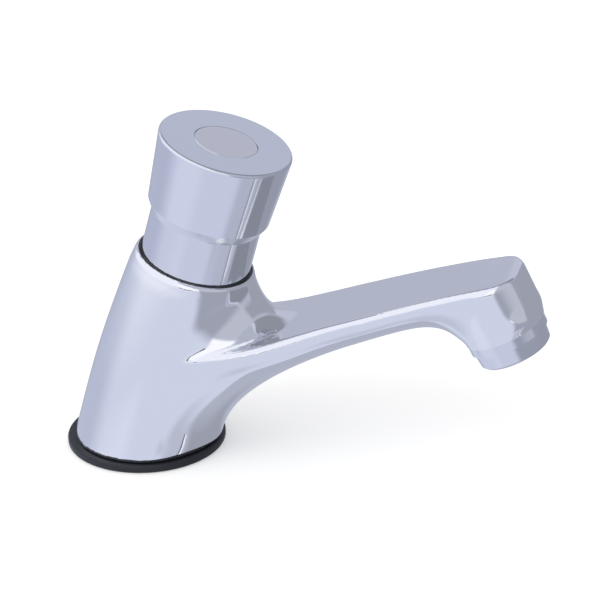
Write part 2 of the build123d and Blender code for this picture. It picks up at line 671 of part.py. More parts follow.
def make_cartridge_cap():
    """The hexagonal cap that closes the timing cylinder and guides the rod."""
    head_top = CARTRIDGE_TOP + CAP_HEAD_THICKNESS
    cap = hexagon(barrel_plane, CAP_ACROSS_FLATS, CARTRIDGE_TOP, head_top)
    cap = cap + rod(barrel_plane, CAP_THREAD_RADIUS - THREAD_CLEARANCE, CAP_SPIGOT_LOW, CARTRIDGE_TOP)
    cap = cap - rod(barrel_plane, ROD_RADIUS + ROD_CLEARANCE, CAP_SPIGOT_LOW - OVERRUN, head_top + OVERRUN)
    groove = ROD_RADIUS + ROD_CLEARANCE + 2 * ROD_RING_WIRE_RADIUS + RING_SQUEEZE
    half = ROD_RING_WIRE_RADIUS + RING_SQUEEZE
    return cap - rod(barrel_plane, groove, ROD_RING_LEVEL - half, ROD_RING_LEVEL + half)


def make_rod_seal():
    """The sealing ring round the rod, in the cap's groove."""
    centre = ROD_RADIUS + ROD_CLEARANCE + ROD_RING_WIRE_RADIUS
    return o_ring(barrel_plane, centre, ROD_RING_WIRE_RADIUS, ROD_RING_LEVEL)


def make_timing_screw():
    """The needle screw in the divider, which sets how slowly the cylinder fills again."""
    axis = Plane(origin=on_barrel(0, TIMING_SCREW_PLACE), x_dir=barrel_plane.x_dir, z_dir=barrel_plane.z_dir)
    head_high = DIVIDER_TOP - DIVIDER_THICKNESS
    outline = [
        (0, head_high - TIMING_HEAD_HEIGHT),
        (TIMING_HEAD_RADIUS, head_high - TIMING_HEAD_HEIGHT),
        (TIMING_HEAD_RADIUS, head_high),
        (TIMING_SCREW_RADIUS, head_high),
        (TIMING_SCREW_RADIUS, DIVIDER_TOP - TIMING_NEEDLE_RADIUS),
        (TIMING_NEEDLE_RADIUS, DIVIDER_TOP),
        (0, DIVIDER_TOP),
    ]
    return turned(axis, outline)


def make_push_button():
    """The button: a tapered crown, a step and a long skirt, hollow inside with a boss for the rod."""
    step_low = BUTTON_STEP - BUTTON_STEP_DROP
    ceiling = BUTTON_TOP - BUTTON_CROWN
    inner_skirt = SKIRT_RADIUS - SKIRT_WALL
    outline = [
        (0, BUTTON_TOP),
        (BUTTON_RADIUS, BUTTON_TOP),
        (BUTTON_LOWER_RADIUS, BUTTON_STEP),
        (SKIRT_RADIUS, step_low),
        (SKIRT_RADIUS, SKIRT_END),
        (inner_skirt, SKIRT_END),
        (inner_skirt, step_low),
        (BUTTON_INNER_RADIUS, ceiling),
        (BUTTON_BOSS_RADIUS, ceiling),
        (BUTTON_BOSS_RADIUS, ceiling - BUTTON_BOSS_DEPTH),
        (0, ceiling - BUTTON_BOSS_DEPTH),
    ]
    button = turned(barrel_plane, outline)
    top_edge = button.edges().filter_by(GeomType.CIRCLE).sort_by(SortBy.RADIUS)[-1]
    button = fillet(top_edge, BUTTON_EDGE)
    disc_floor = BUTTON_TOP - DISC_THICKNESS
    above = BUTTON_TOP + OVERRUN
    button = button - rod(barrel_plane, DISC_RADIUS + DISC_CLEARANCE, disc_floor, above)
    head_floor = screw_head_floor()
    button = button - rod(barrel_plane, SCREW_HEAD_RADIUS + DISC_CLEARANCE, head_floor, above)
    button = button - rod(barrel_plane, SCREW_RADIUS + SCREW_CLEARANCE, ceiling - BUTTON_BOSS_DEPTH - OVERRUN, above)
    socket_top = boss_face() + ROD_HEAD_DEPTH
    return button - rod(barrel_plane, ROD_RADIUS + SCREW_CLEARANCE, boss_face() - OVERRUN, socket_top)


def boss_face():
    """The level of the boss's lower face, which stands on the rod's collar."""
    return BUTTON_TOP - BUTTON_CROWN - BUTTON_BOSS_DEPTH


def screw_head_floor():
    """The level on which the button screw's head bears."""
    return BUTTON_TOP - DISC_THICKNESS - SCREW_HEAD_HEIGHT - DISC_CLEARANCE


def make_index_disc():
    """The plain round cover set flush in the top of the button."""
    low = BUTTON_TOP - DISC_THICKNESS
    disc = rod(barrel_plane, DISC_RADIUS, low, BUTTON_TOP)
    upper = disc.edges().filter_by(GeomType.CIRCLE).sort_by(barrel_axis())[-1]
    return chamfer(upper, DISC_EDGE)


def barrel_axis():
    """The barrel's own axis."""
    return Axis(barrel_plane.origin, barrel_plane.z_dir)


def make_button_screw():
    """The socket screw that holds the button down on the rod."""
    floor = screw_head_floor()
    low = floor - SCREW_LENGTH
    screw = rod(barrel_plane, SCREW_HEAD_RADIUS, floor, floor + SCREW_HEAD_HEIGHT)
    screw = screw + rod(barrel_plane, SCREW_RADIUS, low, floor)
    top = floor + SCREW_HEAD_HEIGHT
    return screw - hexagon(barrel_plane, 2 * SCREW_SOCKET_RADIUS, top - SCREW_SOCKET_DEPTH, top + OVERRUN)


def make_push_rod():
    """The stainless rod from the button down to the valve, tapped for the button screw."""
    collar_top = boss_face()
    collar_low = collar_top - ROD_COLLAR_THICKNESS
    stem_low = holder_low() - STEM_NUT_THICKNESS - CIRCLIP_GROOVE_DEPTH
    groove_top = PISTON_TOP - PISTON_THICKNESS
    groove_low = groove_top - CIRCLIP_THICKNESS
    neck = ROD_RADIUS - CIRCLIP_GROOVE_DEPTH
    outline = [
        (0, stem_low),
        (ROD_STEM_RADIUS, stem_low),
        (ROD_STEM_RADIUS, washer_top()),
        (ROD_RADIUS, washer_top()),
        (ROD_RADIUS, groove_low),
        (neck, groove_low),
        (neck, groove_top),
        (ROD_RADIUS, groove_top),
        (ROD_RADIUS, collar_low),
        (ROD_COLLAR_RADIUS, collar_low),
        (ROD_COLLAR_RADIUS, collar_top),
        (ROD_RADIUS, collar_top),
        (ROD_RADIUS, collar_top + ROD_HEAD_DEPTH),
        (0, collar_top + ROD_HEAD_DEPTH),
    ]
    stem = turned(barrel_plane, outline)
    hole_low = screw_head_floor() - SCREW_LENGTH - SCREW_CLEARANCE
    return stem - rod(barrel_plane, SCREW_RADIUS + SCREW_CLEARANCE, hole_low, collar_top + ROD_HEAD_DEPTH + OVERRUN)


def washer_top():
    """The upper face of the valve washer, just under the seat's rim."""
    return SEAT_LEVEL - SEAT_RIM_HEIGHT - VALVE_LIFT_GAP


def holder_low():
    """The underside of the cup that carries the valve washer."""
    return washer_top() - VALVE_WASHER_THICKNESS - HOLDER_THICKNESS


def make_piston():
    """The timing piston, grooved for its cup seal."""
    low = PISTON_TOP - PISTON_THICKNESS
    piston = ring(barrel_plane, ROD_RADIUS + SCREW_CLEARANCE, PISTON_RADIUS, low, PISTON_TOP)
    groove_low = low + (PISTON_THICKNESS - PISTON_GROOVE_HEIGHT) / 2
    floor = PISTON_RADIUS - PISTON_GROOVE_DEPTH
    return piston - ring(barrel_plane, floor, PISTON_RADIUS + OVERRUN, groove_low, groove_low + PISTON_GROOVE_HEIGHT)


def make_piston_seal():
    """The U-shaped cup seal in the piston's groove, whose lip wipes the cylinder."""
    low = PISTON_TOP - PISTON_THICKNESS + (PISTON_THICKNESS - PISTON_GROOVE_HEIGHT) / 2 + SCREW_CLEARANCE
    high = low + PISTON_GROOVE_HEIGHT - 2 * SCREW_CLEARANCE
    inner = PISTON_RADIUS - PISTON_GROOVE_DEPTH + SCREW_CLEARANCE
    outer = CYLINDER_RADIUS - SEAL_RUNNING_GAP
    web = high - SEAL_LIP
    outline = [
        (inner, low),
        (inner + SEAL_LIP, low),
        (inner + SEAL_LIP, web),
        (outer - SEAL_LIP, web),
        (outer - SEAL_LIP, low),
        (outer, low),
        (outer, high - SEAL_LIP / 2),
        (outer - SEAL_LIP / 2, high),
        (inner, high),
    ]
    return turned(barrel_plane, outline)


def make_piston_circlip():
    """The snap ring under the piston, open on one side."""
    high = PISTON_TOP - PISTON_THICKNESS - SCREW_CLEARANCE / 2
    low = high - CIRCLIP_THICKNESS + SCREW_CLEARANCE
    clip = ring(barrel_plane, ROD_RADIUS - CIRCLIP_GROOVE_DEPTH + SCREW_CLEARANCE, CIRCLIP_RADIUS, low, high)
    half = CIRCLIP_RADIUS * tan(radians(CIRCLIP_OPENING / 2))
    mouth = Polyline((0, 0), (2 * CIRCLIP_RADIUS, 2 * half), (2 * CIRCLIP_RADIUS, -2 * half), close=True)
    mouth_face = barrel_plane * Pos(0, 0, low - OVERRUN) * make_face(mouth)
    return clip - extrude(mouth_face, amount=CIRCLIP_THICKNESS + 2 * OVERRUN, dir=barrel_plane.z_dir)


def make_valve_washer():
    """The rubber washer that closes against the seat from below."""
    high = washer_top()
    return ring(barrel_plane, ROD_STEM_RADIUS + SCREW_CLEARANCE, VALVE_WASHER_RADIUS, high - VALVE_WASHER_THICKNESS, high)


def make_washer_holder():
    """The brass cup that backs the valve washer."""
    low = holder_low()
    floor = low + HOLDER_THICKNESS
    inner = VALVE_WASHER_RADIUS + HOLDER_CLEARANCE
    cup = ring(barrel_plane, ROD_STEM_RADIUS + SCREW_CLEARANCE, HOLDER_RADIUS + HOLDER_CLEARANCE, low, floor + HOLDER_RIM)
    return cup - rod(barrel_plane, inner, floor, floor + HOLDER_RIM + OVERRUN)


def make_stem_nut():
    """The small nut that clamps the washer and its holder to the rod."""
    high = holder_low()
    nut = hexagon(barrel_plane, STEM_NUT_ACROSS_FLATS, high - STEM_NUT_THICKNESS, high)
    return nut - rod(barrel_plane, ROD_STEM_RADIUS + SCREW_CLEARANCE, high - STEM_NUT_THICKNESS - OVERRUN, high + OVERRUN)


def thrust_washer_low():
    """The underside of the thrust washer, where the spring ends."""
    return boss_face() - ROD_COLLAR_THICKNESS - THRUST_WASHER_THICKNESS


def make_thrust_washer():
    """The washer between the rod's collar and the top of the spring."""
    low = thrust_washer_low()
    return ring(barrel_plane, ROD_RADIUS + SCREW_CLEARANCE, THRUST_WASHER_RADIUS, low, low + THRUST_WASHER_THICKNESS)


def spring_height(turn):
    """The wire's height at a turn count: close end turns and open turns between them."""
    low = CARTRIDGE_TOP + CAP_HEAD_THICKNESS + SPRING_SEAT_GAP + SPRING_WIRE_RADIUS
    high = thrust_washer_low() - SPRING_SEAT_GAP - SPRING_WIRE_RADIUS
    dead_pitch = 2 * SPRING_WIRE_RADIUS + SPRING_DEAD_GAP
    dead = dead_pitch * SPRING_DEAD_TURNS
    live = (high - low - 2 * dead) / SPRING_LIVE_TURNS
    if turn <= SPRING_DEAD_TURNS:
        return low + dead_pitch * turn
    if turn <= SPRING_DEAD_TURNS + SPRING_LIVE_TURNS:
        return low + dead + live * (turn - SPRING_DEAD_TURNS)
    return high - dead_pitch * (spring_turns() - turn)


def spring_turns():
    """The whole number of turns of wire, dead and live."""
    return 2 * SPRING_DEAD_TURNS + SPRING_LIVE_TURNS


def spring_point(turn):
    """A point on the wire's centre line."""
    angle = 2 * pi * turn
    return on_barrel(spring_height(turn), SPRING_RADIUS * cos(angle), SPRING_RADIUS * sin(angle))


def spring_direction(turn):
    """The wire's direction at a turn count, smoothed over one arc."""
    half = 1 / (2 * SPRING_ARCS_PER_TURN)
    ahead, behind = min(turn + half, spring_turns()), max(turn - half, 0)
    climb = (spring_height(ahead) - spring_height(behind)) / (2 * pi * (ahead - behind))
    angle = 2 * pi * turn
    across = barrel_plane.x_dir * (-SPRING_RADIUS * sin(angle)) + barrel_plane.y_dir * (SPRING_RADIUS * cos(angle))
    return (across + barrel_plane.z_dir * climb).normalized()


def biarc(start, start_way, end, end_way):
    """Two arcs that meet smoothly and join two points with given directions."""
    gap = end - start
    ways = start_way + end_way
    square = 2 * (1 - start_way.dot(end_way))
    linear = gap.dot(ways)
    reach = (-linear + sqrt(linear * linear + square * gap.dot(gap))) / square
    near, far = start + start_way * reach, end - end_way * reach
    middle = (near + far) * 0.5
    return [
        Edge.make_tangent_arc(start, start_way, middle),
        Edge.make_tangent_arc(middle, (far - near).normalized(), end),
    ]


def make_return_spring():
    """The coil spring, one unbroken wire of closed end turns and open middle turns."""
    steps = round(spring_turns() * SPRING_ARCS_PER_TURN)
    turns = [index / SPRING_ARCS_PER_TURN for index in range(steps + 1)]
    edges = []
    for near, far in zip(turns, turns[1:]):
        edges += biarc(spring_point(near), spring_direction(near), spring_point(far), spring_direction(far))
    start = Plane(origin=spring_point(0), z_dir=spring_direction(0))
    return sweep(start * Circle(SPRING_WIRE_RADIUS), path=Wire(edges))


def spring_gap():
    """The least gap between two neighbouring turns of the wire."""
    count = ceil((spring_turns() - 1) * SPRING_PROBES_PER_TURN)
    turns = [index / SPRING_PROBES_PER_TURN for index in range(count + 1)]
    return min((spring_point(turn + 1) - spring_point(turn)).length for turn in turns) - 2 * SPRING_WIRE_RADIUS


def make_aerator_housing():
    """The screwed outlet housing: collar, smooth sleeve and rolled lip."""
    collar_low = -AERATOR_SEAM_GAP - AERATOR_COLLAR_HEIGHT
    outline = [
        (AERATOR_BORE_RADIUS, AERATOR_THREAD_LENGTH),
        (AERATOR_THREAD_RADIUS, AERATOR_THREAD_LENGTH),
        (AERATOR_THREAD_RADIUS, -AERATOR_SEAM_GAP),
        (AERATOR_COLLAR_RADIUS, -AERATOR_SEAM_GAP),
        (AERATOR_COLLAR_RADIUS, collar_low),
        (AERATOR_RADIUS, collar_low - AERATOR_NOTCH),
        (AERATOR_MOUTH_RADIUS, -AERATOR_DROP + AERATOR_LIP_ROUND),
        (AERATOR_MOUTH_RADIUS - AERATOR_LIP_ROUND, -AERATOR_DROP),
        (AERATOR_SHELF_RADIUS, -AERATOR_DROP),
        (AERATOR_SHELF_RADIUS, -AERATOR_DROP + AERATOR_SHELF_HEIGHT),
        (AERATOR_BORE_RADIUS, -AERATOR_DROP + AERATOR_SHELF_HEIGHT),
    ]
    return turned(outlet_plane, outline)


def make_aerator_insert():
    """The perforated insert that breaks up the jet, seated on the housing's inner shelf."""
    low = -AERATOR_DROP + AERATOR_SHELF_HEIGHT
    high = low + INSERT_HEIGHT
    outer = AERATOR_BORE_RADIUS - INSERT_CLEARANCE
    inner = outer - INSERT_WALL
    inside = low + INSERT_FACE
    outline = [(0, low), (outer, low), (outer, high), (inner, high), (inner, inside), (0, inside)]
    insert = turned(outlet_plane, outline)
    for radius, count in INSERT_RINGS:
        for index in range(count):
            angle = 2 * pi * index / count
            place = outlet_plane * Pos(radius * cos(angle), radius * sin(angle), low - OVERRUN)
            insert = insert - place * Cylinder(INSERT_HOLE_RADIUS, INSERT_FACE + 2 * OVERRUN, align=BOTTOM)
    return insert


def make_aerator_washer():
    """The rubber washer on top of the aerator, at the end of the nose's socket."""
    low = AERATOR_THREAD_LENGTH
    return ring(outlet_plane, AERATOR_WASHER_BORE_RADIUS, AERATOR_THREAD_RADIUS, low, low + AERATOR_WASHER_THICKNESS)


NODES = {
    "tap_body": make_tap_body,
    "base_gasket": make_base_gasket,
    "inlet_shank": make_inlet_shank,
    "backnut_washer": make_backnut_washer,
    "backnut": make_backnut,
    "inlet_filter": make_inlet_filter,
    "guide_ring": make_guide_ring,
    "cartridge_body": make_cartridge_body,
    "valve_seat": make_valve_seat,
    "cartridge_o_rings": make_cartridge_o_rings,
    "cartridge_cap": make_cartridge_cap,
    "rod_seal": make_rod_seal,
    "timing_screw": make_timing_screw,
    "push_button": make_push_button,
    "index_disc": make_index_disc,
    "button_screw": make_button_screw,
    "push_rod": make_push_rod,
    "thrust_washer": make_thrust_washer,
    "piston": make_piston,
    "piston_seal": make_piston_seal,
    "piston_circlip": make_piston_circlip,
    "valve_washer": make_valve_washer,
    "washer_holder": make_washer_holder,
    "stem_nut": make_stem_nut,
    "return_spring": make_return_spring,
    "aerator_housing": make_aerator_housing,
    "aerator_insert": make_aerator_insert,
    "aerator_washer": make_aerator_washer,
}

os.makedirs("parts", exist_ok=True)
for node, make in NODES.items():
    solids = Compound(list(make().solids()))
    solids.label = node
    export_step(solids, f"parts/{node}.step")
print("least gap between the spring's turns:", round(spring_gap(), 2))
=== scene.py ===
"""Self-closing push tap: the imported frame, dressed as polished chrome on a pale floor.

Metres, in the frame's own coordinates: the deck is the plane Z = 0, +X points to the spout.
"""
import json
import logging
import math
from dataclasses import dataclass, field
from enum import Enum

import bpy
from mathutils import Matrix, Vector

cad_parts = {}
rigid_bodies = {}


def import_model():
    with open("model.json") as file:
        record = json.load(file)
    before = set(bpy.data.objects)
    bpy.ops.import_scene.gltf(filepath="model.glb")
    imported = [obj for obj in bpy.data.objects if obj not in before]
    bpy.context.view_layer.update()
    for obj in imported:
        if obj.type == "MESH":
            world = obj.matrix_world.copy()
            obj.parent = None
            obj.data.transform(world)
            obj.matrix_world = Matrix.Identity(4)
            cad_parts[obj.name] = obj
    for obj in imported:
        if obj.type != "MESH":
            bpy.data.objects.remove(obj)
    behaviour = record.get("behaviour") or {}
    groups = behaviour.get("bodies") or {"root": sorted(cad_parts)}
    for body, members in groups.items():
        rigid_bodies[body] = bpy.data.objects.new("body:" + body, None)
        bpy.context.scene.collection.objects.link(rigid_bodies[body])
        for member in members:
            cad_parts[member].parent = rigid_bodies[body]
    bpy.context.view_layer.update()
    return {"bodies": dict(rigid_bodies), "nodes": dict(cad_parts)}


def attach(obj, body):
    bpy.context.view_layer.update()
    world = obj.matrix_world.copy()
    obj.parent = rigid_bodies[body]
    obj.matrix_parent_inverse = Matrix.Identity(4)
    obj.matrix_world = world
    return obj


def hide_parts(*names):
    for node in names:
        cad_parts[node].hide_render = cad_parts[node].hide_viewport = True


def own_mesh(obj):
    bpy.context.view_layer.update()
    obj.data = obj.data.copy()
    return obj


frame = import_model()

LOG = logging.getLogger("push_tap")

Colour = tuple[float, float, float, float]

TILT = math.radians(16.1)
BARREL_FOOT = Vector((0.0006, 0.0, 0.0))
BARREL_WAY = Vector((math.sin(TILT), 0.0, math.cos(TILT)))
LEAN = math.radians(25.1)
OUTLET_CENTRE = Vector((0.12000, 0.0, 0.04996))
OUTLET_WAY = Vector((-math.sin(LEAN), 0.0, math.cos(LEAN)))

MERGE_GAP = 1e-6
DISPLAY_WHITE = 255.0
DISPLAY_GAMMA = 2.2
COOL_RED_LOSS = 0.055
COOL_BLUE_GAIN = 0.23
WHITE: Colour = (1.0, 1.0, 1.0, 1.0)


class Surface(Enum):
    """How a finish's surface is broken up."""

    POLISHED = "polished"
    GRAINED = "grained"
    BRUSHED = "brushed"
    WOVEN = "woven"


class Axis(Enum):
    """The casting's two axes of revolution."""

    BARREL = "barrel"
    OUTLET = "outlet"


def grey(level: float, cool: float = 1.0) -> Colour:
    """A linear colour from a display grey level.

    Args:
        level: display level of the green channel, from 0 to 255.
        cool: how blue the grey is, from 0 for neutral to 1 for the studio's cool light.

    Returns:
        The colour with an alpha of 1.
    """
    base = (level / DISPLAY_WHITE) ** DISPLAY_GAMMA
    return (base * (1.0 - COOL_RED_LOSS * cool), base, base * (1.0 + COOL_BLUE_GAIN * cool), 1.0)


def select_only(obj: bpy.types.Object) -> None:
    """Makes obj the only selected and the active object.

    Args:
        obj: the object to work on.
    """
    bpy.ops.object.select_all(action="DESELECT")
    obj.select_set(True)
    bpy.context.view_layer.objects.active = obj


def settle(obj: bpy.types.Object) -> None:
    """Moves an object's place, turn and scale into its mesh.

    Args:
        obj: the finished piece.
    """
    select_only(obj)
    bpy.ops.object.transform_apply(location=True, rotation=True, scale=True)


def apply_all(obj: bpy.types.Object) -> None:
    """Applies an object's modifiers in order.

    Args:
        obj: the piece whose modifiers are applied.
    """
    select_only(obj)
    for name in [modifier.name for modifier in obj.modifiers]:
        bpy.ops.object.modifier_apply(modifier=name)


def smooth_shade(obj: bpy.types.Object, crease: float) -> None:
    """Shades a piece smooth, apart from its sharp edges.

    Args:
        obj: the mesh piece.
        crease: the angle above which an edge stays sharp, in radians.
    """
    select_only(obj)
    bpy.ops.object.shade_smooth_by_angle(angle=crease)


def merge_doubles(obj: bpy.types.Object, outwards: bool = False) -> None:
    """Merges a piece's doubled vertices.

    Args:
        obj: the mesh piece.
        outwards: whether all faces are turned outwards too.
    """
    select_only(obj)
    bpy.ops.object.mode_set(mode="EDIT")
    bpy.ops.mesh.select_all(action="SELECT")
    bpy.ops.mesh.remove_doubles(threshold=MERGE_GAP)
    if outwards:
        bpy.ops.mesh.normals_make_consistent(inside=False)
    bpy.ops.object.mode_set(mode="OBJECT")


def frame_body(node: str) -> str:
    """The name of the body that a frame node belongs to.

    Args:
        node: the frame node.

    Returns:
        The body's name.
    """
    parent = frame["nodes"][node].parent
    for name, empty in frame["bodies"].items():
        if empty is parent:
            return name
    raise ValueError(f"{node} has no body")


def node_copy(node: str, name: str) -> bpy.types.Object:
    """A merged copy of a frame node's mesh, at the origin.

    Args:
        node: the frame node to copy.
        name: the new piece's name.

    Returns:
        The new object, linked to the scene and with no materials.
    """
    mesh = frame["nodes"][node].data.copy()
    mesh.materials.clear()
    obj = bpy.data.objects.new(name, mesh)
    bpy.context.scene.collection.objects.link(obj)
    merge_doubles(obj)
    if mesh.has_custom_normals:
        bpy.ops.mesh.customdata_custom_splitnormals_clear()
    return obj


def node_material(name: str) -> tuple[bpy.types.Material, bpy.types.Nodes, bpy.types.NodeLinks]:
    """A new node material.

    Args:
        name: the material's name.

    Returns:
        The material, its nodes and its links.
    """
    material = bpy.data.materials.new(name)
    material.use_nodes = True
    return material, material.node_tree.nodes, material.node_tree.links


@dataclass(frozen=True)
class SurfaceBreakup:
    """The shared node group that breaks up a surface, from the piece's own coordinates."""

    name: str = "surface_breakup"
    coarse_detail: float = 4.0
    fine_detail: float = 2.0
    fine_scale: float = 60.0

    def group(self) -> bpy.types.NodeTree:
        """The node group, built once.

        Returns:
            A group with Stretch, Scale and Depth inputs and Mask and Height outputs.
        """
        found = bpy.data.node_groups.get(self.name)
        if found:
            return found
        tree = bpy.data.node_groups.new(self.name, "ShaderNodeTree")
        for socket, way, kind in (
            ("Stretch", "INPUT", "NodeSocketVector"),
            ("Scale", "INPUT", "NodeSocketFloat"),
            ("Depth", "INPUT", "NodeSocketFloat"),
            ("Mask", "OUTPUT", "NodeSocketFloat"),
            ("Height", "OUTPUT", "NodeSocketFloat"),
        ):
            tree.interface.new_socket(socket, in_out=way, socket_type=kind)
        nodes, links = tree.nodes, tree.links
        given = nodes.new("NodeGroupInput")
        made = nodes.new("NodeGroupOutput")
        place = nodes.new("ShaderNodeTexCoord")
        stretched = nodes.new("ShaderNodeVectorMath")
        stretched.operation = "MULTIPLY"
        coarse = nodes.new("ShaderNodeTexNoise")
        coarse.inputs["Detail"].default_value = self.coarse_detail
        fine = nodes.new("ShaderNodeTexNoise")
        fine.inputs["Detail"].default_value = self.fine_detail
        fine.inputs["Scale"].default_value = self.fine_scale
        height = nodes.new("ShaderNodeMath")
        height.operation = "MULTIPLY"
        links.new(place.outputs["Object"], stretched.inputs[0])
        links.new(given.outputs["Stretch"], stretched.inputs[1])
        links.new(stretched.outputs[0], coarse.inputs["Vector"])
        links.new(given.outputs["Scale"], coarse.inputs["Scale"])
        links.new(place.outputs["Object"], fine.inputs["Vector"])
        links.new(coarse.outputs["Fac"], height.inputs[0])
        links.new(given.outputs["Depth"], height.inputs[1])
        links.new(fine.outputs["Fac"], made.inputs["Mask"])
        links.new(height.outputs[0], made.inputs["Height"])
        return tree


EVEN_STRETCH = (1.0, 1.0, 1.0)
BRUSHED_STRETCH = (1.0, 1.0, 0.04)
MASK_RANGE = (0.35, 0.65)
BUMP_HEIGHT = 0.0001
WEAVE_SCALE = 1300.0
WEAVE_EDGE = (0.42, 0.36)
# Near black: painted shade standing in for the dark seen through the strainer's openings.
WEAVE_OPENING_SHADE: Colour = (0.03, 0.032, 0.035, 1.0)


@dataclass(frozen=True)
class Finish:
    """One finish: a base colour, gloss and the way its surface is broken up."""

    name: str
    base: tuple[float, float, float]
    metallic: float
    roughness: float
    spread: float = 0.0
    surface: Surface = Surface.POLISHED
    scale: float = 900.0
    bump: float = 0.0

    def material(self) -> bpy.types.Material:
        """The material of this finish, built once.

        Returns:
            A node material that reads only the piece's own coordinates.
        """
        found = bpy.data.materials.get(self.name)
        if found:
            return found
        material, nodes, links = node_material(self.name)
        shader = nodes["Principled BSDF"]
        shader.inputs["Base Color"].default_value = (*self.base, 1.0)
        shader.inputs["Metallic"].default_value = self.metallic
        shader.inputs["Roughness"].default_value = self.roughness
        if self.spread > 0.0 or self.bump > 0.0:
            self.break_up(nodes, links, shader)
        if self.surface is Surface.WOVEN:
            self.weave(nodes, links, shader)
        return material

    def break_up(
        self, nodes: bpy.types.Nodes, links: bpy.types.NodeLinks, shader: bpy.types.ShaderNode
    ) -> None:
        """Varies the gloss and raises a fine grain.

        Args:
            nodes: the material's nodes.
            links: the material's links.
            shader: the material's shader.
        """
        effect = nodes.new("ShaderNodeGroup")
        effect.node_tree = SurfaceBreakup().group()
        brushed = self.surface is Surface.BRUSHED
        effect.inputs["Stretch"].default_value = BRUSHED_STRETCH if brushed else EVEN_STRETCH
        effect.inputs["Scale"].default_value = self.scale
        effect.inputs["Depth"].default_value = 1.0
        if self.spread > 0.0:
            gloss = nodes.new("ShaderNodeMapRange")
            gloss.inputs["From Min"].default_value, gloss.inputs["From Max"].default_value = MASK_RANGE
            gloss.inputs["To Min"].default_value = max(0.0, self.roughness - self.spread)
            gloss.inputs["To Max"].default_value = self.roughness + self.spread
            links.new(effect.outputs["Mask"], gloss.inputs["Value"])
            links.new(gloss.outputs["Result"], shader.inputs["Roughness"])
        if self.bump > 0.0:
            raised = nodes.new("ShaderNodeBump")
            raised.inputs["Strength"].default_value = self.bump
            raised.inputs["Distance"].default_value = BUMP_HEIGHT
            links.new(effect.outputs["Height"], raised.inputs["Height"])
            links.new(raised.outputs["Normal"], shader.inputs["Normal"])

    def weave(self, nodes: bpy.types.Nodes, links: bpy.types.NodeLinks, shader: bpy.types.ShaderNode) -> None:
        """Paints shade into the openings of a fine strainer mesh, set out on the piece's own coordinates.

        Args:
            nodes: the material's nodes.
            links: the material's links.
            shader: the material's shader.
        """
        place = nodes.new("ShaderNodeTexCoord")
        cells = nodes.new("ShaderNodeTexVoronoi")
        cells.inputs["Scale"].default_value = WEAVE_SCALE
        cells.inputs["Randomness"].default_value = 0.0
        shaded_opening = nodes.new("ShaderNodeMapRange")
        shaded_opening.inputs["From Min"].default_value, shaded_opening.inputs["From Max"].default_value = WEAVE_EDGE
        colour = nodes.new("ShaderNodeMix")
        colour.data_type = "RGBA"
        colour.inputs[6].default_value = (*self.base, 1.0)
        # The openings get painted shade.
        colour.inputs[7].default_value = WEAVE_OPENING_SHADE
        links.new(place.outputs["Object"], cells.inputs["Vector"])
        links.new(cells.outputs["Distance"], shaded_opening.inputs["Value"])
        links.new(shaded_opening.outputs["Result"], colour.inputs[0])
        links.new(colour.outputs[2], shader.inputs["Base Color"])


CHROME = Finish("polished_chrome", (0.955, 0.96, 0.965), 1.0, 0.035, spread=0.008)
# The button's chrome is a brighter copy of the body's: painted sheen that lifts its reflections.
BUTTON_PAINTED_SHEEN_CHROME = Finish("button_chrome", (0.99, 0.99, 0.995), 1.0, 0.04, spread=0.008)
OUTLET_CHROME = Finish("outlet_chrome", (0.93, 0.935, 0.945), 1.0, 0.06, spread=0.01)
DISC_SATIN = Finish("disc_satin_chrome", (0.87, 0.845, 0.84), 1.0, 0.16, spread=0.02)
GASKET_RUBBER = Finish(
    "gasket_black_rubber", (0.012, 0.013, 0.018), 0.0, 0.42, spread=0.05, surface=Surface.GRAINED, bump=0.12
)
SEAL_RUBBER = Finish(
    "seal_rubber", (0.014, 0.014, 0.016), 0.0, 0.5, spread=0.05, surface=Surface.GRAINED, bump=0.15
)
GUIDE_BLACK = Finish("guide_black_plastic", (0.010, 0.010, 0.013), 0.0, 0.3, spread=0.04)
RAW_BRASS = Finish(
    "raw_brass", (0.79, 0.58, 0.27), 1.0, 0.27, spread=0.06, surface=Surface.GRAINED, scale=2500.0, bump=0.06
)
CARTRIDGE_BRASS = Finish("turned_brass", (0.83, 0.63, 0.32), 1.0, 0.2, spread=0.05)
PLAIN_STEEL = Finish(
    "plain_steel", (0.60, 0.60, 0.61), 1.0, 0.26, spread=0.05, surface=Surface.BRUSHED, bump=0.04
)
SPRING_STEEL = Finish("spring_steel", (0.66, 0.66, 0.68), 1.0, 0.18, spread=0.03)
WHITE_PLASTIC = Finish("white_plastic", (0.80, 0.80, 0.78), 0.0, 0.38, spread=0.04, bump=0.03)
FILTER_PLASTIC = Finish("filter_plastic", (0.72, 0.74, 0.76), 0.0, 0.4, spread=0.04, surface=Surface.WOVEN)

NODE_FINISHES: dict[str, Finish] = {
    "tap_body": CHROME,
    "push_button": BUTTON_PAINTED_SHEEN_CHROME,
    "aerator_housing": OUTLET_CHROME,
    "index_disc": DISC_SATIN,
    "base_gasket": GASKET_RUBBER,
    "guide_ring": GUIDE_BLACK,
    "inlet_shank": RAW_BRASS,
    "backnut": RAW_BRASS,
    "backnut_washer": PLAIN_STEEL,
    "inlet_filter": FILTER_PLASTIC,
    "cartridge_body": CARTRIDGE_BRASS,
    "valve_seat": CARTRIDGE_BRASS,
    "cartridge_cap": CARTRIDGE_BRASS,
    "washer_holder": CARTRIDGE_BRASS,
    "cartridge_o_rings": SEAL_RUBBER,
    "rod_seal": SEAL_RUBBER,
    "piston_seal": SEAL_RUBBER,
    "valve_washer": SEAL_RUBBER,
    "aerator_washer": SEAL_RUBBER,
    "timing_screw": PLAIN_STEEL,
    "button_screw": PLAIN_STEEL,
    "push_rod": PLAIN_STEEL,
    "thrust_washer": PLAIN_STEEL,
    "piston_circlip": SPRING_STEEL,
    "stem_nut": PLAIN_STEEL,
    "piston": WHITE_PLASTIC,
    "return_spring": SPRING_STEEL,
    "aerator_insert": WHITE_PLASTIC,
}


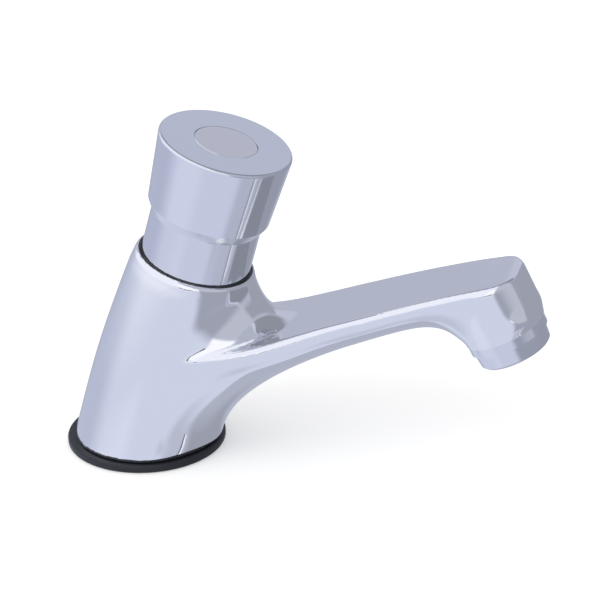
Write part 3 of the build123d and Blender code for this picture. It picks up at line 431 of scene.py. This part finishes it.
def dress(obj: bpy.types.Object, finish: Finish) -> None:
    """Gives a piece one finish all over.

    Args:
        obj: the mesh piece.
        finish: the finish it gets.
    """
    obj.data.materials.clear()
    obj.data.materials.append(finish.material())


def dress_nodes() -> None:
    """Gives every frame node its finish."""
    for node, finish in NODE_FINISHES.items():
        dress(frame["nodes"][node], finish)
        LOG.info("finish %s on node %s", finish.name, node)


@dataclass
class BodySkin:
    """The casting's outer skin: barrel, spout, neck and nose in one unbroken polished surface."""

    voxel: float = 0.00064
    smoothing: float = 0.5
    rounds: int = 20
    rim_plug: float = 0.01895
    rim_low: float = 0.0626
    rim: float = 0.0693
    bore: float = 0.01878
    bore_low: float = 0.0622
    bore_high: float = 0.075
    seam_plug: float = 0.01335
    seam_depth: float = 0.0018
    seam_level: float = -0.00017
    socket: float = 0.01158
    facing: float = 0.0150
    nose_rounds: int = 16
    nose_back: float = -0.002
    nose_fade: float = 0.006
    corner_start: float = 0.0141
    corner_cap: float = 0.0147
    seam_low: float = 0.002
    seam_fade: float = 0.005
    overrun: float = 1e-4
    sides: int = 192
    crease: float = math.radians(50.0)

    def build(self) -> bpy.types.Object:
        """Builds the skin from the casting and dresses it.

        Returns:
            The skin, which stands for the casting's node.
        """
        skin = node_copy("tap_body", "body_skin")
        self.fill_mouths(skin)
        remesh = skin.modifiers.new("remesh", "REMESH")
        remesh.mode = "VOXEL"
        remesh.voxel_size = self.voxel
        remesh.use_smooth_shade = True
        smooth = skin.modifiers.new("smooth", "SMOOTH")
        smooth.factor = self.smoothing
        smooth.iterations = self.rounds
        apply_all(skin)
        self.soften_nose(skin)
        self.open_mouths(skin)
        smooth_shade(skin, self.crease)
        dress(skin, CHROME)
        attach(skin, frame_body("tap_body"))
        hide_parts("tap_body")
        LOG.info("body_skin: %d faces", len(skin.data.polygons))
        return skin

    def soften_nose(self, skin: bpy.types.Object) -> None:
        """Draws the nose's upright corners in towards a round and smooths it, leaving its seam true.

        Args:
            skin: the casting's skin.
        """
        forward = Vector((math.cos(LEAN), 0.0, math.sin(LEAN)))
        group = skin.vertex_groups.new(name="nose")
        span = self.corner_cap - self.corner_start
        for vertex in skin.data.vertices:
            away = vertex.co - OUTLET_CENTRE
            ahead = (away.dot(forward) - self.nose_back) / self.nose_fade
            above = (away.dot(OUTLET_WAY) - self.seam_low) / self.seam_fade
            weight = max(0.0, min(1.0, ahead)) * max(0.0, min(1.0, above))
            if weight <= 0.0:
                continue
            group.add([vertex.index], weight, "REPLACE")
            radial = away - OUTLET_WAY * away.dot(OUTLET_WAY)
            beyond = radial.length - self.corner_start
            if beyond > 0.0:
                kept = span * (1.0 - math.exp(-beyond / span))
                vertex.co -= radial.normalized() * ((beyond - kept) * weight)
        soften = skin.modifiers.new("soften", "SMOOTH")
        soften.factor = self.smoothing
        soften.iterations = self.nose_rounds
        soften.vertex_group = "nose"
        apply_all(skin)
        skin.vertex_groups.clear()

    def plug(self, axis: Axis, radius: float, low: float, high: float) -> bpy.types.Object:
        """A plain cylinder about one of the casting's two axes.

        Args:
            axis: the barrel's or the outlet's axis.
            radius: its radius.
            low: its lower level along the axis.
            high: its upper level along the axis.

        Returns:
            The cylinder, a helper that is used up.
        """
        if axis is Axis.BARREL:
            foot, way, tilt = BARREL_FOOT, BARREL_WAY, TILT
        else:
            foot, way, tilt = OUTLET_CENTRE, OUTLET_WAY, -LEAN
        bpy.ops.object.select_all(action="DESELECT")
        bpy.ops.mesh.primitive_cylinder_add(
            vertices=self.sides,
            radius=radius,
            depth=high - low,
            location=foot + way * ((low + high) / 2),
            rotation=(0.0, tilt, 0.0),
        )
        plug = bpy.context.object
        settle(plug)
        return plug

    def fill_mouths(self, skin: bpy.types.Object) -> None:
        """Fills the rim's and the nose's mouths, so that their thin lips keep their height in the remesh.

        Args:
            skin: the casting's skin.
        """
        rim = self.plug(Axis.BARREL, self.rim_plug, self.rim_low, self.rim)
        seam = self.plug(Axis.OUTLET, self.seam_plug, -self.seam_depth, self.seam_depth)
        select_only(skin)
        rim.select_set(True)
        seam.select_set(True)
        bpy.ops.object.join()

    def cut(self, skin: bpy.types.Object, cutter: bpy.types.Object) -> None:
        """Cuts a plug out of the skin.

        Args:
            skin: the casting's skin.
            cutter: the plug, which is used up.
        """
        away = skin.modifiers.new("cut", "BOOLEAN")
        away.operation = "DIFFERENCE"
        away.solver = "EXACT"
        away.object = cutter
        apply_all(skin)
        bpy.data.objects.remove(cutter, do_unlink=True)

    def open_mouths(self, skin: bpy.types.Object) -> None:
        """Bores both mouths again and faces the nose off, so that their edges are crisp.

        Args:
            skin: the casting's skin.
        """
        below = -2.0 * self.seam_depth
        self.cut(skin, self.plug(Axis.BARREL, self.bore, self.bore_low, self.bore_high))
        self.cut(skin, self.plug(Axis.OUTLET, self.socket, below, self.seam_depth + self.overrun))
        self.cut(skin, self.plug(Axis.OUTLET, self.facing, below, self.seam_level))


@dataclass
class ThreadedTail:
    """The inlet tail with its parallel pipe thread cut as a real helix, clear of the relief groove."""

    crest: float = 0.01048
    root: float = 0.00935
    pitch: float = 0.001814
    steps: int = 60
    starts: tuple[float, ...] = (-0.0448, -0.0299)
    turns: tuple[int, ...] = (7, 16)
    body_high: float = 0.0007
    level_reach: float = 3e-4
    radius_reach: float = 2e-5
    half_flank: float = 0.47
    crest_bevel: float = 0.00012
    crest_segments: int = 2
    crest_angle: float = math.radians(60.0)
    crease: float = math.radians(32.0)

    def build(self) -> bpy.types.Object:
        """Builds the tail.

        Returns:
            The threaded tail, which stands for the plain tail's node.
        """
        tail = node_copy("inlet_shank", "threaded_tail")
        self.cut_core(tail)
        ridges = [self.ridge(start, count) for start, count in zip(self.starts, self.turns)]
        select_only(tail)
        for ridge in ridges:
            ridge.select_set(True)
        bpy.ops.object.join()
        merge_doubles(tail, outwards=True)
        smooth_shade(tail, self.crease)
        dress(tail, RAW_BRASS)
        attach(tail, frame_body("inlet_shank"))
        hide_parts("inlet_shank")
        LOG.info("threaded_tail: %d faces", len(tail.data.polygons))
        return tail

    def cut_core(self, tail: bpy.types.Object) -> None:
        """Takes the tail's threaded lengths down to the thread's root.

        Args:
            tail: the copy of the plain tail.
        """
        vertices = tail.data.vertices
        for vertex in vertices:
            across = math.hypot(vertex.co.x, vertex.co.y)
            on_crest = abs(across - self.crest) < self.radius_reach
            vertex.select = on_crest and vertex.co.z < self.body_high + self.level_reach
        for part in (*tail.data.edges, *tail.data.polygons):
            part.select = all(vertices[index].select for index in part.vertices)
        select_only(tail)
        bpy.ops.object.mode_set(mode="EDIT")
        bpy.ops.mesh.select_mode(type="VERT")
        shrink = self.root / self.crest
        bpy.ops.transform.resize(value=(shrink, shrink, 1.0), center_override=(0.0, 0.0, 0.0))
        bpy.ops.object.mode_set(mode="OBJECT")

    def ridge(self, start: float, count: int) -> bpy.types.Object:
        """One helical ridge with flanks at the pipe thread's angle.

        Args:
            start: the level at which it begins.
            count: its number of turns.

        Returns:
            The ridge, a closed mesh.
        """
        bpy.ops.object.select_all(action="DESELECT")
        bpy.ops.mesh.primitive_circle_add(
            vertices=4, radius=1.0, fill_type="NGON", rotation=(math.pi / 2, 0.0, 0.0)
        )
        ridge = bpy.context.object
        ridge.name = "thread_ridge"
        settle(ridge)
        depth = self.crest - self.root
        bpy.ops.object.mode_set(mode="EDIT")
        bpy.ops.mesh.select_all(action="SELECT")
        bpy.ops.transform.resize(value=(depth, 1.0, self.pitch * self.half_flank))
        bpy.ops.transform.translate(value=(self.crest - depth, 0.0, start))
        bpy.ops.object.mode_set(mode="OBJECT")
        screw = ridge.modifiers.new("helix", "SCREW")
        screw.axis = "Z"
        screw.angle = 2.0 * math.pi
        screw.screw_offset = self.pitch
        screw.iterations = count
        screw.steps = self.steps
        screw.render_steps = self.steps
        screw.use_merge_vertices = True
        screw.merge_threshold = MERGE_GAP
        crest = ridge.modifiers.new("crest", "BEVEL")
        crest.width = self.crest_bevel
        crest.segments = self.crest_segments
        crest.limit_method = "ANGLE"
        crest.angle_limit = self.crest_angle
        apply_all(ridge)
        return ridge


@dataclass
class ReturnSpring:
    """The coil spring between the cartridge and the button, which shortens as the button is pressed; this
    piece keeps its rest length.
    """

    seat: float = 0.058
    keep: float = 0.8355
    crease: float = math.radians(40.0)

    def build(self) -> bpy.types.Object:
        """Builds the spring.

        Returns:
            The spring, which stands for the spring's node at every pose.
        """
        spring = node_copy("return_spring", "coil_spring")
        smooth_shade(spring, self.crease)
        dress(spring, SPRING_STEEL)
        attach(spring, frame_body("return_spring"))
        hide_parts("return_spring")
        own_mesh(spring)
        LOG.info("coil_spring built")
        return spring


@dataclass(frozen=True)
class Panel:
    """A soft-edged wall, window or board of the studio, as polished metal sees it.

    Angles are in degrees. A turn of 0 lies behind the tap, 90 on the spout's side and 180 in front;
    a rise of 0 is the eye level of the deck.
    """

    name: str
    turn: float
    half_turn: float
    rise: float
    half_rise: float
    level: float
    soft: float = 8.0
    cool: float = 1.0
    soft_rise: float = 0.0


@dataclass
class Studio:
    """The soft studio round the tap: white to the eye, with shaded panels for polished metal."""

    gain: float = 1.03
    fill: float = 0.85
    room: float = 208.0
    panels: tuple[Panel, ...] = (
        Panel("left_deck", -140, 55, -82, 18, 192, 20),
        Panel("left_glow", -128, 24, -33, 16, 216, 20, 0.9, 9),
        Panel("left_wall", -58, 40, -3, 20, 186, 34, 1.25, 14),
        Panel("back_wall", 0, 44, -20, 90, 179, 26),
        Panel("far_deck", 34, 68, -86, 33, 176, 22),
        Panel("right_wall", 58, 48, -14, 48, 156, 20, 0.95),
        Panel("front_wall", 116, 35, -14, 23, 159, 16, 1.0, 10),
        Panel("front_deck", 118, 22, -48, 12, 185, 20),
        Panel("door_gap", 103.5, 1.6, -44, 9.5, 238, 1.6, 0.4),
        Panel("door_shadow", 107, 1.0, -44, 9.5, 80, 1.2),
        Panel("left_sky", -125, 72, 47, 48, 239, 26, 0.5),
        Panel("right_sky", 120, 28, 22, 20, 186, 10, 0.8),
        Panel("back_sky", -3, 17, 23, 9, 190, 6),
        Panel("window", 167, 18, 19, 17, 251, 5, 0.2),
        Panel("ceiling", 25, 68, 68, 31, 142, 9, 0.9),
        Panel("front_ceiling", 130, 30, 66, 26, 177, 10, 1.0),
        Panel("table_edge", 174, 12, 0, 1.5, 84, 2.0),
    )

    def build(self) -> None:
        """Builds the world and the view settings."""
        world = bpy.data.worlds.new("studio")
        bpy.context.scene.world = world
        world.use_nodes = True
        nodes, links = world.node_tree.nodes, world.node_tree.links
        nodes.clear()
        place = nodes.new("ShaderNodeTexCoord")
        split = nodes.new("ShaderNodeSeparateXYZ")
        links.new(place.outputs["Generated"], split.inputs[0])
        turn = self.maths(nodes, links, "ARCTAN2", split.outputs["X"], split.outputs["Y"])
        rise = self.maths(nodes, links, "ARCSINE", split.outputs["Z"])
        room = nodes.new("ShaderNodeRGB")
        room.outputs[0].default_value = grey(self.room)
        colour = room.outputs[0]
        for panel in self.panels:
            across = self.within(nodes, links, turn, panel.turn, panel.half_turn, panel.soft)
            over = self.within(nodes, links, rise, panel.rise, panel.half_rise, panel.soft_rise or panel.soft)
            share = self.maths(nodes, links, "MULTIPLY", across, over)
            mix = nodes.new("ShaderNodeMix")
            mix.data_type = "RGBA"
            mix.label = panel.name
            links.new(share, mix.inputs[0])
            links.new(colour, mix.inputs[6])
            mix.inputs[7].default_value = grey(panel.level, panel.cool)
            colour = mix.outputs[2]
            LOG.info("studio panel %s", panel.name)
        self.split_rays(nodes, links, colour)
        bpy.context.scene.view_settings.view_transform = "Standard"

    def maths(
        self,
        nodes: bpy.types.Nodes,
        links: bpy.types.NodeLinks,
        operation: str,
        first: bpy.types.NodeSocket,
        second: bpy.types.NodeSocket | float | None = None,
    ) -> bpy.types.NodeSocket:
        """One sum on one or two values.

        Args:
            nodes: the world's nodes.
            links: the world's links.
            operation: the sum's name.
            first: the first value.
            second: the second value, a socket or a number.

        Returns:
            The result's socket.
        """
        node = nodes.new("ShaderNodeMath")
        node.operation = operation
        links.new(first, node.inputs[0])
        if isinstance(second, (int, float)):
            node.inputs[1].default_value = second
        elif second is not None:
            links.new(second, node.inputs[1])
        return node.outputs[0]

    def within(
        self,
        nodes: bpy.types.Nodes,
        links: bpy.types.NodeLinks,
        angle: bpy.types.NodeSocket,
        middle: float,
        half: float,
        soft: float,
    ) -> bpy.types.NodeSocket:
        """How far an angle lies inside a panel, from 1 inside to 0 outside.

        Args:
            nodes: the world's nodes.
            links: the world's links.
            angle: the angle's socket, in radians.
            middle: the panel's middle, in degrees.
            half: half the panel's width, in degrees.
            soft: the width of its soft edge, in degrees.

        Returns:
            The share's socket.
        """
        away = self.maths(nodes, links, "SUBTRACT", angle, math.radians(middle))
        wrapped = nodes.new("ShaderNodeMath")
        wrapped.operation = "WRAP"
        links.new(away, wrapped.inputs[0])
        wrapped.inputs[1].default_value = math.pi
        wrapped.inputs[2].default_value = -math.pi
        apart = self.maths(nodes, links, "ABSOLUTE", wrapped.outputs[0])
        step = nodes.new("ShaderNodeMapRange")
        step.interpolation_type = "SMOOTHSTEP"
        step.inputs["From Min"].default_value = math.radians(half + soft / 2)
        step.inputs["From Max"].default_value = math.radians(half - soft / 2)
        links.new(apart, step.inputs["Value"])
        return step.outputs["Result"]

    def split_rays(
        self, nodes: bpy.types.Nodes, links: bpy.types.NodeLinks, colour: bpy.types.NodeSocket
    ) -> None:
        """Sends the panels to glossy rays, plain white to the camera and a soft fill to the rest.

        Args:
            nodes: the world's nodes.
            links: the world's links.
            colour: the panels' colour.
        """
        panels = nodes.new("ShaderNodeBackground")
        panels.inputs["Strength"].default_value = self.gain
        links.new(colour, panels.inputs["Color"])
        fill = nodes.new("ShaderNodeBackground")
        fill.inputs["Color"].default_value = WHITE
        fill.inputs["Strength"].default_value = self.fill
        white = nodes.new("ShaderNodeBackground")
        white.inputs["Color"].default_value = WHITE
        white.inputs["Strength"].default_value = 1.0
        path = nodes.new("ShaderNodeLightPath")
        glossy = nodes.new("ShaderNodeMixShader")
        links.new(path.outputs["Is Glossy Ray"], glossy.inputs[0])
        links.new(fill.outputs[0], glossy.inputs[1])
        links.new(panels.outputs[0], glossy.inputs[2])
        seen = nodes.new("ShaderNodeMixShader")
        links.new(path.outputs["Is Camera Ray"], seen.inputs[0])
        links.new(glossy.outputs[0], seen.inputs[1])
        links.new(white.outputs[0], seen.inputs[2])
        out = nodes.new("ShaderNodeOutputWorld")
        links.new(seen.outputs[0], out.inputs["Surface"])


@dataclass
class Deck:
    """The plain pale deck the tap stands on."""

    half: float = 1.6
    paleness: float = 0.82
    roughness: float = 0.9
    glow: float = 0.33
    clear: float = 0.0001

    def build(self) -> bpy.types.Object:
        """Builds the deck, which polished metal doesn't see.

        Returns:
            The deck's object.
        """
        bpy.ops.object.select_all(action="DESELECT")
        bpy.ops.mesh.primitive_plane_add(size=2.0 * self.half, location=(0.0, 0.0, -self.clear))
        settle(bpy.context.object)
        deck = bpy.context.object
        deck.name = "deck"
        deck.visible_glossy = False
        material, nodes, links = node_material("deck_white")
        shader = nodes["Principled BSDF"]
        shader.inputs["Base Color"].default_value = (self.paleness, self.paleness, self.paleness, 1.0)
        shader.inputs["Roughness"].default_value = self.roughness
        shader.inputs["Specular IOR Level"].default_value = 0.0
        white = nodes.new("ShaderNodeEmission")
        white.inputs["Color"].default_value = WHITE
        white.inputs["Strength"].default_value = self.glow
        both = nodes.new("ShaderNodeAddShader")
        links.new(shader.outputs[0], both.inputs[0])
        links.new(white.outputs[0], both.inputs[1])
        links.new(both.outputs[0], nodes["Material Output"].inputs["Surface"])
        deck.data.materials.append(material)
        LOG.info("deck built")
        return deck


@dataclass
class TailShade:
    """A plain sleeve round the tail that only polished metal sees, so that it mirrors no brass."""

    radius: float = 0.0175
    high: float = -0.0004
    low: float = -0.048
    level: float = 186.0
    sides: int = 64

    def build(self) -> bpy.types.Object:
        """Builds the sleeve.

        Returns:
            The sleeve.
        """
        bpy.ops.object.select_all(action="DESELECT")
        bpy.ops.mesh.primitive_cylinder_add(
            vertices=self.sides,
            radius=self.radius,
            depth=self.high - self.low,
            location=(0.0, 0.0, (self.high + self.low) / 2),
        )
        sleeve = bpy.context.object
        sleeve.name = "tail_shade"
        settle(sleeve)
        for kind in ("camera", "diffuse", "transmission", "volume_scatter", "shadow"):
            setattr(sleeve, f"visible_{kind}", False)
        material, nodes, links = node_material("tail_shade_grey")
        nodes.remove(nodes["Principled BSDF"])
        plain = nodes.new("ShaderNodeEmission")
        plain.inputs["Color"].default_value = grey(self.level)
        links.new(plain.outputs[0], nodes["Material Output"].inputs["Surface"])
        sleeve.data.materials.append(material)
        LOG.info("tail_shade built")
        return sleeve


@dataclass
class Camera:
    """The camera at the photograph's viewing angle."""

    azimuth: float = 14.643
    elevation: float = 25.032
    roll: float = -1.934
    distance: float = 0.99485
    lens: float = 187.135
    sensor: float = 36.0
    far: float = 20.0
    aim: Vector = field(default_factory=lambda: Vector((0.05368, 0.0, 0.05416)))

    def build(self) -> bpy.types.Object:
        """Builds the camera and makes it the scene's own.

        Returns:
            The camera's object.
        """
        turn, rise, roll = (math.radians(value) for value in (self.azimuth, self.elevation, self.roll))
        back = Vector((math.sin(turn) * math.cos(rise), -math.cos(turn) * math.cos(rise), math.sin(rise)))
        right = Vector((math.cos(turn), math.sin(turn), 0.0))
        up = back.cross(right)
        across = right * math.cos(roll) + up * math.sin(roll)
        over = up * math.cos(roll) - right * math.sin(roll)
        data = bpy.data.cameras.new("camera")
        data.lens = self.lens
        data.sensor_width = self.sensor
        data.clip_end = self.far
        camera = bpy.data.objects.new("camera", data)
        bpy.context.scene.collection.objects.link(camera)
        turned = Matrix((across, over, back)).transposed().to_4x4()
        camera.matrix_world = Matrix.Translation(self.aim + back * self.distance) @ turned
        bpy.context.scene.camera = camera
        LOG.info("camera at %s", tuple(round(value, 4) for value in camera.location))
        return camera


@dataclass
class SoftLight:
    """A large soft lamp."""

    name: str
    place: tuple[float, float, float]
    size: float
    power: float
    aim: tuple[float, float, float] = (0.05, 0.0, 0.05)

    def build(self) -> bpy.types.Object:
        """Builds the lamp, aimed at the tap and not seen in polished metal.

        Returns:
            The lamp's object.
        """
        data = bpy.data.lights.new(self.name, "AREA")
        data.shape = "SQUARE"
        data.size = self.size
        data.energy = self.power
        lamp = bpy.data.objects.new(self.name, data)
        bpy.context.scene.collection.objects.link(lamp)
        lamp.location = self.place
        way = Vector(self.aim) - Vector(self.place)
        lamp.rotation_euler = way.to_track_quat("-Z", "Y").to_euler()
        lamp.visible_glossy = False
        LOG.info("lamp %s", self.name)
        return lamp


def main() -> None:
    """Builds the dressed tap, its studio and the camera."""
    logging.basicConfig(level=logging.INFO, format="%(name)s: %(message)s")
    dress_nodes()
    BodySkin().build()
    ThreadedTail().build()
    ReturnSpring().build()
    Studio().build()
    Deck().build()
    TailShade().build()
    SoftLight("key_light", place=(-0.9, -1.0, 1.3), size=1.2, power=9.0).build()
    Camera().build()


if __name__ == "__main__":
    main()
